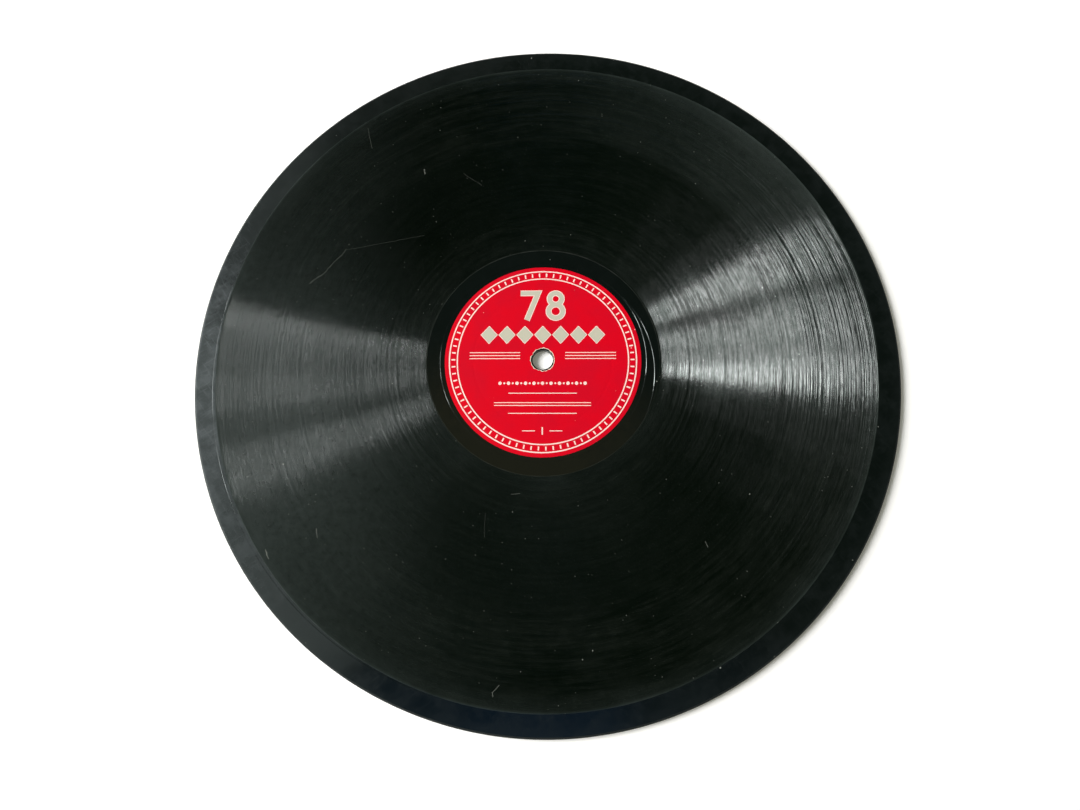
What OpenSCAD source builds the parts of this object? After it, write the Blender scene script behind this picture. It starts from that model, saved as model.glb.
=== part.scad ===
// Shellac record of the 25 cm size: one pressed disc with a paper label let into each side.
// The origin is at the middle of the underside, and side A faces up.

/* [Disc] */
// Diameter of the disc
disc_d = 250; // [200:1:305]
// Thickness of the disc
disc_t = 2.3; // [1.9:0.05:3.2]
// Radius of the rounded outer edge
edge_r = 0.9; // [0.3:0.05:1]
// Diameter of the spindle hole
hole_d = 7.24; // [7:0.02:7.6]

/* [Label] */
// Diameter of the paper label
label_d = 69.8; // [60:0.2:90]
// Thickness of the paper
label_t = 0.12; // [0.08:0.01:0.2]
// Diameter of the hole in the paper, worn wider than the spindle hole
label_hole_d = 8.2; // [7.8:0.1:10]
// Depth of the paper's face below the smooth land round it
label_drop = 0.04; // [0.02:0.01:0.1]
// Clearance between the paper's edge and the wall of its seat
label_gap = 0.05; // [0.02:0.01:0.2]

/* [Playing band] */
// Width of the smooth rim outside the playing band
rim_w = 7.6; // [4:0.1:12]
// Depth of the playing band, which is the mean depth of its fine grooves
band_drop = 0.03; // [0.01:0.01:0.06]
// Width of the smooth land between the playing band and the stop groove
run_out_w = 5.2; // [3:0.1:12]
// Width of the smooth land between the stop groove and the label
stop_land_w = 1.7; // [1:0.1:4]
// Angle round the disc that the run-out groove takes to cross its land
run_out_sweep = 81; // [60:1:120]

/* [Stop and run-out grooves] */
// Width of the groove at the surface
groove_w = 0.2; // [0.1:0.01:0.3]
// Width of the groove's floor, where the needle rides
groove_floor_w = 0.05; // [0.02:0.01:0.08]
// Depth of the groove
groove_depth = 0.08; // [0.07:0.01:0.12]

/* [Hidden] */
$fn = 180;

// Least height of the straight part of the outer edge, and flats in each rounded corner
edge_flat = 0.3;
edge_steps = 8;
// How far a cut runs out past the surface
overcut = 0.2;

disc_r = disc_d / 2;
edge = min(edge_r, (disc_t - edge_flat) / 2);
seat_r = label_d / 2 + label_gap;
seat_depth = label_t + label_drop;
stop_r = label_d / 2 + stop_land_w;
band_inner_r = stop_r + run_out_w;
band_outer_r = disc_r - rim_w;

// The run-out groove is a round arc from the playing band to the stop groove, half its sweep each side of +X.
// Its centre lies on -Y, where it is equally far from both ends.
run_out_offset = run_out_w / (2 * sin(run_out_sweep / 2));
run_out_r = sqrt(run_out_offset ^ 2 + band_inner_r * stop_r);
run_out_start = run_out_angle(band_inner_r, -run_out_sweep / 2);
run_out_end = run_out_angle(stop_r, run_out_sweep / 2);

// Angle about the run-out arc's centre of a point given by its radius and angle about the spindle hole
function run_out_angle(r, angle) = atan2(r * sin(angle) + run_out_offset, r * cos(angle));

// A groove's section as distances from the spindle hole and depths below the surface
function groove_section(r) = [
    [r - groove_w / 2, 0],
    [r - groove_floor_w / 2, groove_depth],
    [r + groove_floor_w / 2, groove_depth],
    [r + groove_w / 2, 0]
];

// One side of the disc from the spindle hole outwards: label seat, stop groove, playing band, rounded corner
side_outline = [
    [hole_d / 2, seat_depth],
    [seat_r, seat_depth],
    [seat_r, 0],
    each groove_section(stop_r),
    [band_inner_r, 0],
    [band_inner_r, band_drop],
    [band_outer_r, band_drop],
    [band_outer_r, 0],
    for (step = [0 : edge_steps])
        let (angle = 90 * step / edge_steps)
            [disc_r - edge * (1 - sin(angle)), edge * (1 - cos(angle))]
];
side_points = len(side_outline);

// Puts a feature of the upper side on both sides, the lower one as if the disc were turned over about X
module both_sides() {
    children();
    turned_over()
        children();
}

module turned_over() {
    translate([0, 0, disc_t])
        rotate([180, 0, 0])
            children();
}

// The disc with its label seats, stop grooves and playing bands
module pressed_blank() {
    rotate_extrude()
        polygon([
            for (point = side_outline)
                point,
            for (i = [side_points - 1 : -1 : 0])
                [side_outline[i].x, disc_t - side_outline[i].y]
        ]);
}

// The cut of the run-out groove in the upper side
module run_out_cut() {
    section = groove_section(run_out_r);
    translate([0, -run_out_offset, disc_t])
        rotate_extrude(angle = run_out_end - run_out_start, start = run_out_start)
            polygon([
                [section[0].x, overcut],
                for (point = section)
                    [point.x, -point.y],
                [section[3].x, overcut]
            ]);
}

module shellac_disc() {
    color([0.05, 0.055, 0.05])
        difference() {
            pressed_blank();
            both_sides()
                run_out_cut();
        }
}

// A paper label in the seat of the upper side
module label_paper() {
    color([0.85, 0.02, 0.1])
        translate([0, 0, disc_t - seat_depth])
            difference() {
                cylinder(d = label_d, h = label_t);
                translate([0, 0, -overcut])
                    cylinder(d = label_hole_d, h = label_t + 2 * overcut);
            }
}

module label_side_a() {
    label_paper();
}

module label_side_b() {
    turned_over()
        label_paper();
}

shellac_disc();
label_side_a();
label_side_b();
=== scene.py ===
"""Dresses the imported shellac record: grooved disc, torn-edged paper labels, generic print, studio."""

import logging
import math
from dataclasses import dataclass
from enum import Enum

import bpy
import numpy as np
from mathutils import Euler, Matrix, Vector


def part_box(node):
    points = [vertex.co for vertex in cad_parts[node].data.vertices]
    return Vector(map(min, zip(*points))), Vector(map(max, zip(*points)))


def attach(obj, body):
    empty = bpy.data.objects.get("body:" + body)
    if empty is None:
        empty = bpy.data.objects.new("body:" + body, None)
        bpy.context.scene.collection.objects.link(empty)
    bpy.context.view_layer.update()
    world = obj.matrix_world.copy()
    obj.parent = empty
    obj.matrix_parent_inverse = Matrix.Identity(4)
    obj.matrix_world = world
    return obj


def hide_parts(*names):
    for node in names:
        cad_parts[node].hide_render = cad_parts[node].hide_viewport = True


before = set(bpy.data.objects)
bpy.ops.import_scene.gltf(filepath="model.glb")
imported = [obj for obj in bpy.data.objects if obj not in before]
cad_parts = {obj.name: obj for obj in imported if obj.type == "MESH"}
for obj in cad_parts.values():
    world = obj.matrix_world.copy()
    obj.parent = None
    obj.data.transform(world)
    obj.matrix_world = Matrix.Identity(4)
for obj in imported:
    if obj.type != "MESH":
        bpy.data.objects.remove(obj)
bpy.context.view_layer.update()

MM = 0.001
FULL_TURN = 2.0 * math.pi
# Height from which a point belongs to the record's upper side
UPPER_FROM = 1.0 * MM
# Corners of a ribbon sharper than this cosine of half their turn don't grow any longer
LEAST_MITRE = 0.4
LOG = logging.getLogger("shellac_record")

Array = np.ndarray
Span = tuple[float, float]
Triple = tuple[float, float, float]
Colour = tuple[float, float, float, float]
Socket = bpy.types.NodeSocket
Sockets = dict[str, Socket]
Inputs = dict[str | int, object]


class Side(Enum):
    """The two sides of the record."""

    UPPER = "a"
    LOWER = "b"


class Ink(Enum):
    """The two inks of the label's print."""

    CREAM = "cream"
    SILVER = "silver"


@dataclass(frozen=True)
class Surface:
    """Points in metres and the four-sided faces between them."""

    points: Array
    faces: Array

    def on_side(self, side: Side, thickness: float) -> "Surface":
        """Puts a surface of the upper side where it belongs, for the lower side by a half turn about X.

        Args:
            side: The side of the record.
            thickness: Thickness of the disc that is turned.

        Returns:
            The surface on that side.
        """
        if side is Side.UPPER:
            return self
        turned = self.points * np.array([1.0, -1.0, -1.0]) + np.array([0.0, 0.0, thickness])
        return Surface(turned, self.faces)


def joined(surfaces: list[Surface]) -> Surface:
    """Puts several surfaces into one mesh.

    Args:
        surfaces: The surfaces, which stay separate shells.

    Returns:
        One surface that holds them all.
    """
    starts = np.cumsum([0] + [len(each.points) for each in surfaces[:-1]])
    points = np.concatenate([each.points for each in surfaces])
    faces = np.concatenate([each.faces + start for each, start in zip(surfaces, starts)])
    return Surface(points, faces)


def smooth_step(value: Array) -> Array:
    """Eases from 0 to 1 while the value goes from 0 to 1, flat at both ends: 3v^2 - 2v^3."""
    held = np.clip(value, 0.0, 1.0)
    return held * held * (3.0 - 2.0 * held)


def wrapped(angle: Array) -> Array:
    """Brings angles to between minus and plus half a turn."""
    return (angle + math.pi) % FULL_TURN - math.pi


def unit(vectors: Array) -> Array:
    """Divides each vector of the last axis by its length."""
    return vectors / np.linalg.norm(vectors, axis=-1, keepdims=True)


def to_left(vectors: Array) -> Array:
    """Turns each level vector (x, y) by a quarter turn, to (-y, x)."""
    return np.stack([-vectors[..., 1], vectors[..., 0]], axis=-1)


def walls(here: Array, there: Array, axis: int) -> Array:
    """Gives the faces between closed sections, which an axis goes round, and the sections next to them."""
    return np.stack([here, np.roll(here, -1, axis), np.roll(there, -1, axis), there], axis=-1).reshape(-1, 4)


def ring_surface(radius: Array, angle: Array, height: Array, closed: bool = True) -> Surface:
    """Carries a closed section round the Z axis.

    Row k and column i give the point at radius[k, i] from the axis, turned by angle[i], at height[k, i].
    The last row joins the first. In a closed ring so does the last column. In an open one it needn't meet
    the first, and flat faces close both ends, each between two neighbouring rows of the section's first
    half and the two rows opposite them in its second half.

    Args:
        radius: Distances from the axis, one row for each point of the section.
        angle: Angle of each column.
        height: Heights above the underside, in the same layout as the distances.
        closed: True if the last column joins the first.

    Returns:
        The ring, with its faces outwards where the section runs outwards on top and inwards below.
    """
    points = np.stack([radius * np.cos(angle), radius * np.sin(angle), height], axis=-1).reshape(-1, 3)
    index = np.arange(radius.size).reshape(radius.shape)
    if closed:
        return Surface(points, walls(index, np.roll(index, -1, axis=1), 0))
    above, below = np.split(index, 2)
    below = below[::-1]
    start = np.stack([above[:-1, 0], below[:-1, 0], below[1:, 0], above[1:, 0]], axis=-1)
    end = np.stack([above[:-1, -1], above[1:, -1], below[1:, -1], below[:-1, -1]], axis=-1)
    return Surface(points, np.concatenate([walls(index[:, :-1], index[:, 1:], 0), start, end]))


def ribbons(paths: Array, half_widths: Array, low: float, high: float, closed: bool = False) -> Surface:
    """Carries a flat box section along many level paths at once.

    At each point the section's sides stand off the path by the half width along the mitre of the two
    neighbouring stretches, so that corners keep their width.

    Args:
        paths: Points of each path, as paths by points by (x, y).
        half_widths: Half the ribbon's width at each point, as paths by points.
        low: Height of the ribbons' underside.
        high: Height of the ribbons' upper face.
        closed: True if each path's end joins its start.

    Returns:
        All the ribbons, each a closed shell.
    """
    if closed:
        ahead = np.roll(paths, -1, axis=1) - paths
        behind = np.roll(ahead, 1, axis=1)
    else:
        ahead = np.diff(paths, axis=1, append=2.0 * paths[:, -1:] - paths[:, -2:-1])
        behind = np.concatenate([ahead[:, :1], ahead[:, :-1]], axis=1)
    ahead = unit(ahead)
    across = unit(to_left(ahead + unit(behind)))
    mitre = np.maximum((across * to_left(ahead)).sum(axis=-1), LEAST_MITRE)
    offset = across * (half_widths / mitre)[..., None]
    sides = np.stack([paths + offset, paths + offset, paths - offset, paths - offset], axis=2)
    heights = np.broadcast_to(np.array([low, high, high, low]), sides.shape[:3])
    points = np.concatenate([sides, heights[..., None]], axis=-1).reshape(-1, 3)
    index = np.arange(len(points)).reshape(heights.shape)
    if closed:
        return Surface(points, walls(index, np.roll(index, -1, axis=1), 2))
    ends = np.concatenate([index[:, 0, ::-1], index[:, -1]])
    return Surface(points, np.concatenate([walls(index[:, :-1], index[:, 1:], 2), ends]))


def new_piece(name: str, surface: Surface, node: str, sharp_angle: float) -> bpy.types.Object:
    """Makes a piece of the record from a surface and puts it on the CAD frame.

    Args:
        name: Name of the piece.
        surface: Its points and faces.
        node: The CAD node that it stands for.
        sharp_angle: Edges that turn more than this angle stay sharp.

    Returns:
        The new object, smooth-shaded, riding on the row's one body.
    """
    mesh = bpy.data.meshes.new(name)
    mesh.vertices.add(len(surface.points))
    mesh.vertices.foreach_set("co", surface.points.astype(np.float32).ravel())
    mesh.loops.add(surface.faces.size)
    mesh.loops.foreach_set("vertex_index", surface.faces.astype(np.int32).ravel())
    mesh.polygons.add(len(surface.faces))
    mesh.polygons.foreach_set("loop_start", np.arange(0, surface.faces.size, 4, dtype=np.int32))
    mesh.update(calc_edges=True)
    mesh.polygons.foreach_set("use_smooth", np.ones(len(surface.faces), dtype=bool))
    mesh.set_sharp_from_angle(angle=sharp_angle)
    piece = bpy.data.objects.new(name, mesh)
    bpy.context.scene.collection.objects.link(piece)
    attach(piece, "root")
    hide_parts(node)
    LOG.info("%s: %d points, %d faces", name, len(surface.points), len(surface.faces))
    return piece


def set_layer(piece: bpy.types.Object, name: str, values: Array) -> None:
    """Gives a piece's mesh a layer of its own, with one number for each point."""
    layer = piece.data.attributes.new(name, "FLOAT", "POINT")
    layer.data.foreach_set("value", values.astype(np.float32))


class NodeSketch:
    """Lays out shader nodes in one tree with little wording.

    The tree's first node gives `given`, its outputs, and `where`, the coordinates that effects follow.
    """

    def __init__(self, tree: bpy.types.NodeTree, first: str, place: str) -> None:
        """Starts a tree.

        Args:
            tree: The tree, which holds no node yet.
            first: Type name of its first node.
            place: Name of that node's output with the coordinates.
        """
        self.tree = tree
        self.given = self.add(first).outputs
        self.where = self.given[place]

    def put(self, socket: Socket, value: object) -> None:
        """Links a socket from another one, or sets it where the value is plain.

        Args:
            socket: The input to fill.
            value: An output socket, a number, a colour or a vector.
        """
        if isinstance(value, Socket):
            self.tree.links.new(value, socket)
        else:
            socket.default_value = value

    def add(self, kind: str, values: Inputs | None = None, **settings: object) -> bpy.types.Node:
        """Adds a node.

        Args:
            kind: The node's type name.
            values: What goes into its inputs, by their names or places.
            **settings: The node's own options.

        Returns:
            The node.
        """
        node = self.tree.nodes.new(kind)
        for name, setting in settings.items():
            setattr(node, name, setting)
        for name, value in (values or {}).items():
            self.put(node.inputs[name], value)
        return node

    def maths(self, operation: str, first: object, second: object = 0.0, clamp: bool = False) -> Socket:
        """Works out one sum by the Math node's operation of that name, clamped to 0..1 if need be."""
        values = {0: first, 1: second}
        return self.add("ShaderNodeMath", values, operation=operation, use_clamp=clamp).outputs[0]

    def plus(self, first: object, second: object, clamp: bool = False) -> Socket:
        """Adds two numbers."""
        return self.maths("ADD", first, second, clamp)

    def times(self, first: object, second: object, clamp: bool = False) -> Socket:
        """Multiplies two numbers."""
        return self.maths("MULTIPLY", first, second, clamp)

    def most(self, first: object, second: object) -> Socket:
        """Takes the larger of two numbers."""
        return self.maths("MAXIMUM", first, second)

    def rest(self, value: object) -> Socket:
        """Takes a number from one."""
        return self.maths("SUBTRACT", 1.0, value)

    def ease(self, value: object, low: object, high: object) -> Socket:
        """Eases a value from 0 at low to 1 at high."""
        ends = {"Value": value, "From Min": low, "From Max": high}
        return self.add("ShaderNodeMapRange", ends, interpolation_type="SMOOTHSTEP").outputs["Result"]

    def spread(self, value: object, low: float, high: float) -> Socket:
        """Spreads a value from 0..1 over low..high."""
        ends = {"Value": value, "To Min": low, "To Max": high}
        return self.add("ShaderNodeMapRange", ends).outputs["Result"]

    def mix(self, share: object, first: object, second: object) -> Socket:
        """Mixes two colours, which the Mix node has at its sockets 6 and 7, by the second one's share."""
        return self.add("ShaderNodeMix", {0: share, 6: first, 7: second}, data_type="RGBA").outputs[2]

    def noise(self, where: object, scale: object, detail: float = 2.0, rough: float = 0.5) -> Socket:
        """Gives smooth noise from 0 to 1, with so many finer layers of so much strength."""
        values = {"Vector": where, "Scale": scale, "Detail": detail, "Roughness": rough}
        return self.add("ShaderNodeTexNoise", values).outputs[0]

    def vectors(self, operation: str, *given: object, output: str = "Vector") -> Socket:
        """Works out one sum of vectors by the Vector Math node's operation of that name."""
        return self.add("ShaderNodeVectorMath", dict(enumerate(given)), operation=operation).outputs[output]

    def scaled(self, vector: object, factor: object) -> Socket:
        """Multiplies a vector by a number."""
        return self.add("ShaderNodeVectorMath", {0: vector, "Scale": factor}, operation="SCALE").outputs[0]

    def combined(self, x: object, y: object, z: object) -> Socket:
        """Makes a vector of three numbers."""
        return self.add("ShaderNodeCombineXYZ", {0: x, 1: y, 2: z}).outputs[0]

    def level(self, vector: object) -> Socket:
        """Takes the height out of a vector."""
        return self.vectors("MULTIPLY", vector, (1.0, 1.0, 0.0))

    def radius(self) -> Socket:
        """Gives the distance from the middle of the spindle hole, the length of (x, y)."""
        return self.vectors("LENGTH", self.level(self.where), output="Value")

    def upper_side(self) -> Socket:
        """Gives 1 on the record's upper side and 0 on its lower one."""
        height = self.add("ShaderNodeSeparateXYZ", {0: self.where}).outputs[2]
        return self.maths("GREATER_THAN", height, UPPER_FROM)

    def layer(self, name: str) -> Socket:
        """Reads a mesh's own layer of numbers."""
        return self.add("ShaderNodeAttribute", attribute_name=name).outputs["Fac"]

    def bump(self, height: Socket, distance: float) -> Socket:
        """Tilts the surface as a relief would whose height goes from 0 to a distance."""
        return self.add("ShaderNodeBump", {"Height": height, "Distance": distance}).outputs[0]


class Effect:
    """A shader node group with named sockets, built once and placed in each tree that uses it."""

    name = "Effect"
    takes: dict[str, float | Triple] = {}
    gives: tuple[str, ...] = ("Mask",)
    _groups: dict[str, bpy.types.NodeTree] = {}

    def draw(self, sketch: NodeSketch) -> Sockets:
        """Lays out the group's inside in its own tree and gives the socket behind each output."""
        raise NotImplementedError

    def group(self) -> bpy.types.NodeTree:
        """Builds the group, or finds it if it is there already.

        Returns:
            The group's node tree.
        """
        if self.name in Effect._groups:
            return Effect._groups[self.name]
        tree = bpy.data.node_groups.new(self.name, "ShaderNodeTree")
        for name, start in {"Vector": (0.0, 0.0, 0.0), **self.takes}.items():
            kind = "NodeSocketVector" if isinstance(start, tuple) else "NodeSocketFloat"
            socket = tree.interface.new_socket(name=name, in_out="INPUT", socket_type=kind)
            socket.default_value = start
        for name in self.gives:
            tree.interface.new_socket(name=name, in_out="OUTPUT", socket_type="NodeSocketFloat")
        sketch = NodeSketch(tree, "NodeGroupInput", "Vector")
        sketch.add("NodeGroupOutput", self.draw(sketch))
        Effect._groups[self.name] = tree
        return tree

    def place(self, sketch: NodeSketch, **values: object) -> Sockets:
        """Places the group in a tree, where it follows the tree's coordinates.

        Args:
            sketch: The tree.
            **values: What goes into its named inputs, with underscores for spaces.

        Returns:
            The group's outputs by name.
        """
        named = {name.replace("_", " ").capitalize(): value for name, value in values.items()}
        tree = self.group()
        node = sketch.add("ShaderNodeGroup", node_tree=tree)
        for name, value in {"Vector": sketch.where, **named}.items():
            sketch.put(node.inputs[name], value)
        return {name: node.outputs[name] for name in self.gives}

    def mask(self, sketch: NodeSketch, **values: object) -> Socket:
        """Places the group in a tree and gives its mask."""
        return self.place(sketch, **values)["Mask"]


class DustSpecks(Effect):
    """Scattered specks: a share of the cells of a random net holds one round speck each."""

    name = "Dust specks"
    takes = {"Cells": 400.0, "Share": 0.2, "Size": 0.2}
    size_shares: Span = (0.4, 1.0)
    core: float = 0.5

    def draw(self, sketch: NodeSketch) -> Sockets:
        """Keeps a cell where its random number is under the share, and fades with distance from its point.

        Args:
            sketch: The group's own tree.

        Returns:
            The mask.
        """
        given = sketch.given
        cells = sketch.add("ShaderNodeTexVoronoi", {"Vector": sketch.where, "Scale": given["Cells"]}).outputs
        chance = sketch.add("ShaderNodeSeparateColor", {0: cells["Color"]}).outputs
        kept = sketch.maths("LESS_THAN", chance[0], given["Share"])
        size = sketch.times(given["Size"], sketch.spread(chance[1], *self.size_shares))
        near = sketch.rest(sketch.ease(cells["Distance"], sketch.times(size, self.core), size))
        return {"Mask": sketch.times(kept, near)}


class Hairline(Effect):
    """One thin wavering line between two points: a lint fibre or a scratch."""

    name = "Hairline"
    takes = {"Start": (0.0, 0.0, 0.0), "End": (0.01, 0.0, 0.0), "Width": 0.0002, "Waver": 0.0003}
    waves: float = 250.0
    noise_middle: Triple = (0.5, 0.5, 0.5)
    core: float = 0.4

    def draw(self, sketch: NodeSketch) -> Sockets:
        """Is 1 within half the width of the line from start to end, after noise shifts the place.

        Args:
            sketch: The group's own tree.

        Returns:
            The mask.
        """
        given = sketch.given
        waves = {"Vector": sketch.where, "Scale": self.waves}
        shift = sketch.add("ShaderNodeTexNoise", waves).outputs["Color"]
        wavering = sketch.scaled(sketch.vectors("SUBTRACT", shift, self.noise_middle), given["Waver"])
        place = sketch.level(sketch.vectors("ADD", sketch.where, wavering))
        along = sketch.vectors("SUBTRACT", given["End"], given["Start"])
        away = sketch.vectors("SUBTRACT", place, given["Start"])
        square = sketch.vectors("DOT_PRODUCT", along, along, output="Value")
        covered = sketch.vectors("DOT_PRODUCT", away, along, output="Value")
        nearest = sketch.scaled(along, sketch.maths("DIVIDE", covered, square, True))
        distance = sketch.vectors("DISTANCE", away, nearest, output="Value")
        half_width = sketch.times(given["Width"], 0.5)
        off_line = sketch.ease(distance, sketch.times(half_width, self.core), half_width)
        return {"Mask": sketch.times(sketch.rest(off_line), sketch.upper_side())}


class DustAndSheenVeil(Effect):
    """A thin veil over one part of the upper side, for dust and for painted sheen."""

    name = "Dust and sheen veil"
    takes = {"Centre": (0.0, 0.0, 0.0), "Inner": 0.03, "Outer": 0.12, "Patches": 420.0}
    thinning: Span = (0.3, 1.7)

    def draw(self, sketch: NodeSketch) -> Sockets:
        """Fades from 1 at the inner distance from the centre to 0 at the outer one, thinned by noise.

        Args:
            sketch: The group's own tree.

        Returns:
            The mask.
        """
        given = sketch.given
        away = sketch.vectors("DISTANCE", sketch.level(sketch.where), given["Centre"], output="Value")
        near = sketch.rest(sketch.ease(away, given["Inner"], given["Outer"]))
        noise = sketch.noise(sketch.where, given["Patches"], detail=3.0, rough=0.6)
        thinned = sketch.times(near, sketch.spread(noise, *self.thinning))
        return {"Mask": sketch.times(thinned, sketch.upper_side(), True)}


class HandlingHaze(Effect):
    """Cloudy patches and fine crossing strokes left by sleeves and fingers."""

    name = "Handling haze"
    takes = {"Patches": 40.0, "Streaks": 900.0}
    gives = ("Mask", "Streaks")
    slants: Span = (0.6, -0.9)
    stroke_shape: Triple = (9.0, 1.0, 1.0)
    stroke_range: Span = (0.56, 0.74)
    patch_range: Span = (0.38, 0.68)

    def draw(self, sketch: NodeSketch) -> Sockets:
        """Eases coarse noise into patches, and fine noise drawn out along two slanting ways into strokes.

        Args:
            sketch: The group's own tree.

        Returns:
            The patches' mask and the strokes.
        """
        coarse = sketch.noise(sketch.where, sketch.given["Patches"], detail=4.0, rough=0.65)
        strokes = 0.0
        for slant in self.slants:
            shape = {"Vector": sketch.where, "Rotation": (0.0, 0.0, slant), "Scale": self.stroke_shape}
            drawn_out = sketch.add("ShaderNodeMapping", shape, vector_type="TEXTURE").outputs[0]
            fine = sketch.noise(drawn_out, sketch.given["Streaks"])
            strokes = sketch.most(strokes, sketch.ease(fine, *self.stroke_range))
        return {"Mask": sketch.ease(coarse, *self.patch_range), "Streaks": strokes}


class RingLine(Effect):
    """One thin line all round the disc at a given radius."""

    name = "Ring line"
    takes = {"Ring radius": 0.1, "Width": 0.0003}

    def draw(self, sketch: NodeSketch) -> Sockets:
        """Fades from 1 at the radius to 0 at half the width from it.

        Args:
            sketch: The group's own tree.

        Returns:
            The mask.
        """
        away = sketch.maths("SUBTRACT", sketch.radius(), sketch.given["Ring radius"])
        half_width = sketch.times(sketch.given["Width"], 0.5)
        return {"Mask": sketch.rest(sketch.ease(sketch.maths("ABSOLUTE", away), 0.0, half_width))}


class GrooveGrain(Effect):
    """What sound and wear do to the groove: short dashes round the disc, worn turns, gloss and dust."""

    name = "Groove grain"
    takes = {
        "Dash across": 2600.0,
        "Dash along": 260.0,
        "Lines across": 1700.0,
        "Turns across": 1050.0,
        "Arcs across": 650.0,
        "Arcs along": 50.0,
        "Wear across": 90.0,
        "Wear along": 38.0,
        "Dust patches": 240.0,
    }
    gives = ("Height", "Lines", "Film", "Dust")
    film_shares: Triple = (0.46, 0.34, 0.2)
    film_range: Span = (0.4, 0.62)
    turn_range: Span = (0.5, 0.72)
    wear_range: Span = (0.4, 0.7)
    arc_range: Span = (0.34, 0.76)
    patch_range: Span = (0.4, 0.75)
    patch_dust: Span = (0.45, 1.0)

    def draw(self, sketch: NodeSketch) -> Sockets:
        """Reads noise at (radius, x, y), drawn out along x and y, and of the radius alone for whole turns.

        Args:
            sketch: The group's own tree.

        Returns:
            The dashes' height, the worn turns, the film of gloss and the dust.
        """
        given = sketch.given
        x, y, _ = sketch.add("ShaderNodeSeparateXYZ", {0: sketch.where}).outputs
        place = sketch.combined(sketch.radius(), x, y)

        def layer(across: str, along: object, detail: float = 2.0, rough: float = 0.6) -> Socket:
            """Reads noise by a named count for each metre across the turns and a count along them."""
            counts = sketch.combined(given[across], along, along)
            return sketch.noise(sketch.vectors("MULTIPLY", place, counts), 1.0, detail, rough)

        dashes = layer("Dash across", given["Dash along"], detail=1.0)
        turns = layer("Turns across", 0.0)
        wear = layer("Wear across", given["Wear along"])
        broken = layer("Lines across", given["Dash along"])
        arcs = layer("Arcs across", given["Arcs along"], detail=3.0, rough=0.65)
        patches = sketch.noise(sketch.where, given["Dust patches"], detail=5.0, rough=0.7)
        film = 0.0
        for part, share in zip((turns, broken, patches), self.film_shares):
            film = sketch.plus(film, sketch.times(part, share))
        patchy = sketch.spread(sketch.ease(patches, *self.patch_range), *self.patch_dust)
        return {
            "Height": dashes,
            "Lines": sketch.times(sketch.ease(turns, *self.turn_range), sketch.ease(wear, *self.wear_range)),
            "Film": sketch.ease(film, *self.film_range),
            "Dust": sketch.times(sketch.ease(arcs, *self.arc_range), patchy),
        }


class PaperFibre(Effect):
    """Paper's fine tooth and its slow change of tone."""

    name = "Paper fibre"
    takes = {"Tooth": 9000.0, "Tone": 90.0}
    gives = ("Height", "Tone")

    def draw(self, sketch: NodeSketch) -> Sockets:
        """Reads fine noise for the tooth and coarse noise for the tone.

        Args:
            sketch: The group's own tree.

        Returns:
            The tooth's height and the tone.
        """
        tooth = sketch.noise(sketch.where, sketch.given["Tooth"], detail=3.0, rough=0.6)
        tone = sketch.noise(sketch.where, sketch.given["Tone"], detail=4.0, rough=0.6)
        return {"Height": tooth, "Tone": tone}


def in_metres(place: Span) -> Triple:
    """Gives a level place in millimetres as a point in metres."""
    return place[0] * MM, place[1] * MM, 0.0


@dataclass(frozen=True)
class Mark:
    """One lint fibre or scratch on the upper side, in millimetres from the spindle hole."""

    start: Span
    end: Span
    width: float
    strength: float
    waver: float = 0.6

    def mask(self, sketch: NodeSketch) -> Socket:
        """Places the mark in a material.

        Args:
            sketch: The material's tree.

        Returns:
            The mark's mask, as strong as the mark is.
        """
        ends = {"start": in_metres(self.start), "end": in_metres(self.end)}
        line = Hairline().mask(sketch, **ends, width=self.width * MM, waver=self.waver * MM)
        return sketch.times(line, self.strength)


@dataclass(frozen=True)
class Veil:
    """One veil on the upper side, for dust and for painted sheen, in millimetres from the spindle hole,
    where it may end inwards.
    """

    centre: Span
    inner: float
    outer: float
    strength: float
    outside: float = 0.0
    border: float = 1.5

    def mask(self, sketch: NodeSketch) -> Socket:
        """Places the veil in a material.

        Args:
            sketch: The material's tree.

        Returns:
            The veil's mask, as strong as the veil is.
        """
        centre = in_metres(self.centre)
        veil = DustAndSheenVeil().mask(sketch, centre=centre, inner=self.inner * MM, outer=self.outer * MM)
        if self.outside:
            low, high = self.outside - self.border, self.outside + self.border
            veil = sketch.times(veil, sketch.ease(sketch.radius(), low * MM, high * MM))
        return sketch.times(veil, self.strength)


@dataclass(frozen=True)
class Finish:
    """A named material, made once."""

    name: str

    def shade(self, sketch: NodeSketch) -> Inputs:
        """Lays out the material's nodes in its tree and gives what goes into the shader's inputs."""
        raise NotImplementedError

    def material(self) -> bpy.types.Material:
        """Gives the material, and makes it first if need be.

        Returns:
            The material.
        """
        found = bpy.data.materials.get(self.name)
        if found is not None:
            return found
        made = bpy.data.materials.new(self.name)
        made.use_nodes = True
        made.node_tree.nodes.clear()
        sketch = NodeSketch(made.node_tree, "ShaderNodeTexCoord", "Object")
        shader = sketch.add("ShaderNodeBsdfPrincipled", self.shade(sketch))
        sketch.add("ShaderNodeOutputMaterial", {"Surface": shader.outputs["BSDF"]})
        return made

    def dress(self, piece: bpy.types.Object) -> None:
        """Gives a piece this finish."""
        piece.data.materials.append(self.material())


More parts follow.
